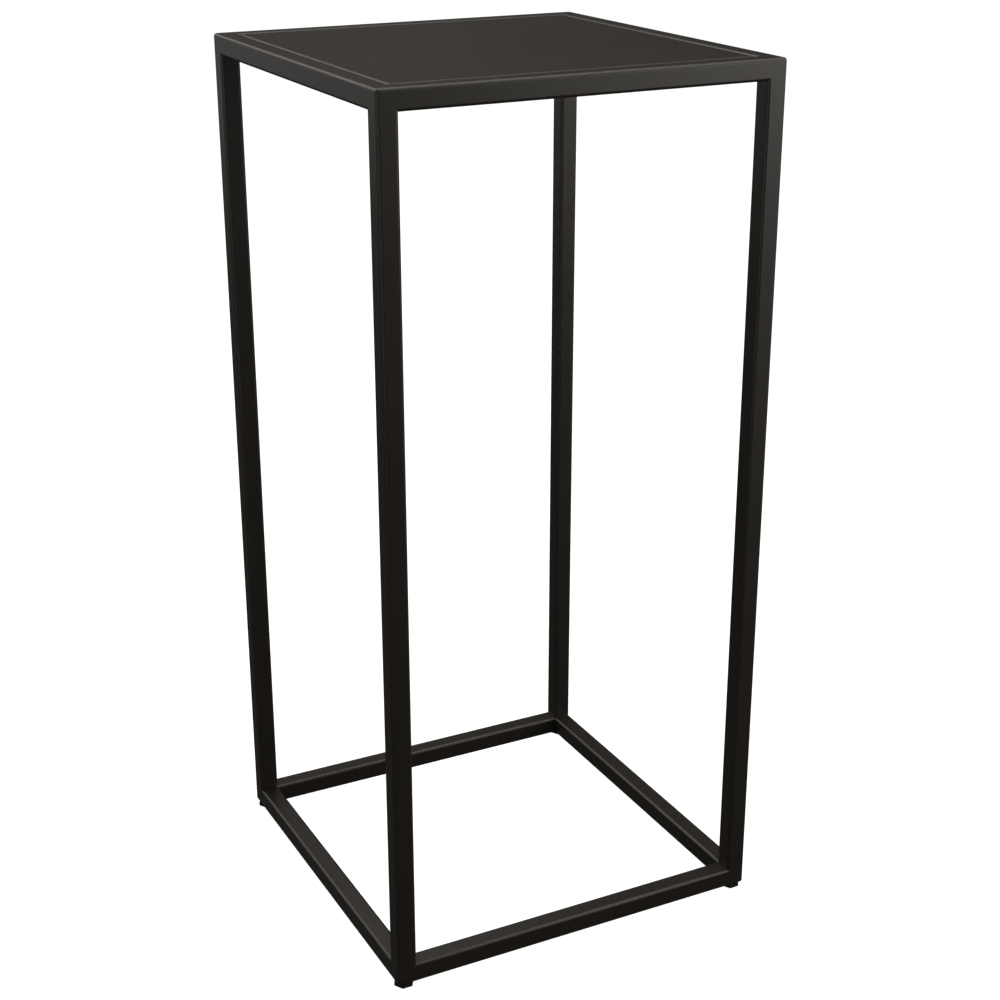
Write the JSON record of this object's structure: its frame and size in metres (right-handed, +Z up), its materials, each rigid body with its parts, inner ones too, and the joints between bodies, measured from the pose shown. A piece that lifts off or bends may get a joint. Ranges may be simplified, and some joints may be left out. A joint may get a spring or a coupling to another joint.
{
  "type": "display plinth",
  "caption": "Tall open display plinth: welded square-tube frame in black powder coat, loose folded sheet-metal top set nearly flush, small screw-in levelling feet.",
  "frame": {"origin": "middle of the footprint on the floor, with the feet screwed right in", "axes": "+Z up along the plinth's height; +X to the right and +Y to the back, seen from the front"},
  "size_m": [0.4008, 0.4, 0.864],
  "materials": {
    "frame_coat": "satin fine-texture powder coat, warm near-black",
    "panel_coat": "satin fine-texture powder coat, warm near-black",
    "foot_plastic": "moulded black plastic",
    "fastener_steel": "bright zinc plate",
    "pad_rubber": "black rubber sheet"
  },
  "bodies": {
    "frame": {"base_rail_front": "frame_coat", "base_rail_back": "frame_coat", "base_rail_left": "frame_coat", "base_rail_right": "frame_coat", "top_rail_front": "frame_coat", "top_rail_back": "frame_coat", "top_rail_left": "frame_coat", "top_rail_right": "frame_coat", "front_left_leg": "frame_coat", "front_left_leg_cap": "frame_coat", "front_left_leg_base_plate": "frame_coat", "front_left_panel_tab": "frame_coat", "front_left_foot_nut": "fastener_steel", "front_left_panel_pad": "pad_rubber", "front_right_leg": "frame_coat", "front_right_leg_cap": "frame_coat", "front_right_leg_base_plate": "frame_coat", "front_right_panel_tab": "frame_coat", "front_right_foot_nut": "fastener_steel", "front_right_panel_pad": "pad_rubber", "back_left_leg": "frame_coat", "back_left_leg_cap": "frame_coat", "back_left_leg_base_plate": "frame_coat", "back_left_panel_tab": "frame_coat", "back_left_foot_nut": "fastener_steel", "back_left_panel_pad": "pad_rubber", "back_right_leg": "frame_coat", "back_right_leg_cap": "frame_coat", "back_right_leg_base_plate": "frame_coat", "back_right_panel_tab": "frame_coat", "back_right_foot_nut": "fastener_steel", "back_right_panel_pad": "pad_rubber"},
    "panel": {"top_panel": "panel_coat"},
    "front_left_stud": {"front_left_foot_stud": "fastener_steel"},
    "front_left_foot": {"front_left_foot_base": "foot_plastic"},
    "front_right_stud": {"front_right_foot_stud": "fastener_steel"},
    "front_right_foot": {"front_right_foot_base": "foot_plastic"},
    "back_left_stud": {"back_left_foot_stud": "fastener_steel"},
    "back_left_foot": {"back_left_foot_base": "foot_plastic"},
    "back_right_stud": {"back_right_foot_stud": "fastener_steel"},
    "back_right_foot": {"back_right_foot_base": "foot_plastic"}
  },
  "joints": [
    {"name": "panel_lift", "type": "slide", "parent": "frame", "child": "panel", "axis": [0, 0, 1], "range_m": [0, 0.08]},
    {"name": "front_left_foot_travel", "type": "slide", "parent": "frame", "child": "front_left_stud", "axis": [0, 0, 1], "range_m": [-0.0075, 0]},
    {"name": "front_left_foot_turn", "type": "hinge", "parent": "front_left_stud", "child": "front_left_foot", "pos_m": [-0.19, -0.19, 0.004], "axis": [0, 0, 1], "range_deg": [-2160, 0]},
    {"name": "front_right_foot_travel", "type": "slide", "parent": "frame", "child": "front_right_stud", "axis": [0, 0, 1], "range_m": [-0.0075, 0]},
    {"name": "front_right_foot_turn", "type": "hinge", "parent": "front_right_stud", "child": "front_right_foot", "pos_m": [0.19, -0.19, 0.004], "axis": [0, 0, 1], "range_deg": [-2160, 0]},
    {"name": "back_left_foot_travel", "type": "slide", "parent": "frame", "child": "back_left_stud", "axis": [0, 0, 1], "range_m": [-0.0075, 0]},
    {"name": "back_left_foot_turn", "type": "hinge", "parent": "back_left_stud", "child": "back_left_foot", "pos_m": [-0.19, 0.19, 0.004], "axis": [0, 0, 1], "range_deg": [-2160, 0]},
    {"name": "back_right_foot_travel", "type": "slide", "parent": "frame", "child": "back_right_stud", "axis": [0, 0, 1], "range_m": [-0.0075, 0]},
    {"name": "back_right_foot_turn", "type": "hinge", "parent": "back_right_stud", "child": "back_right_foot", "pos_m": [0.19, 0.19, 0.004], "axis": [0, 0, 1], "range_deg": [-2160, 0]}
  ],
  "couplings": [
    {"joint": "front_left_foot_turn", "follows": "front_left_foot_travel", "rad_per_m": 5026.5},
    {"joint": "front_right_foot_turn", "follows": "front_right_foot_travel", "rad_per_m": 5026.5},
    {"joint": "back_left_foot_turn", "follows": "back_left_foot_travel", "rad_per_m": 5026.5},
    {"joint": "back_right_foot_turn", "follows": "back_right_foot_travel", "rad_per_m": 5026.5}
  ]
}
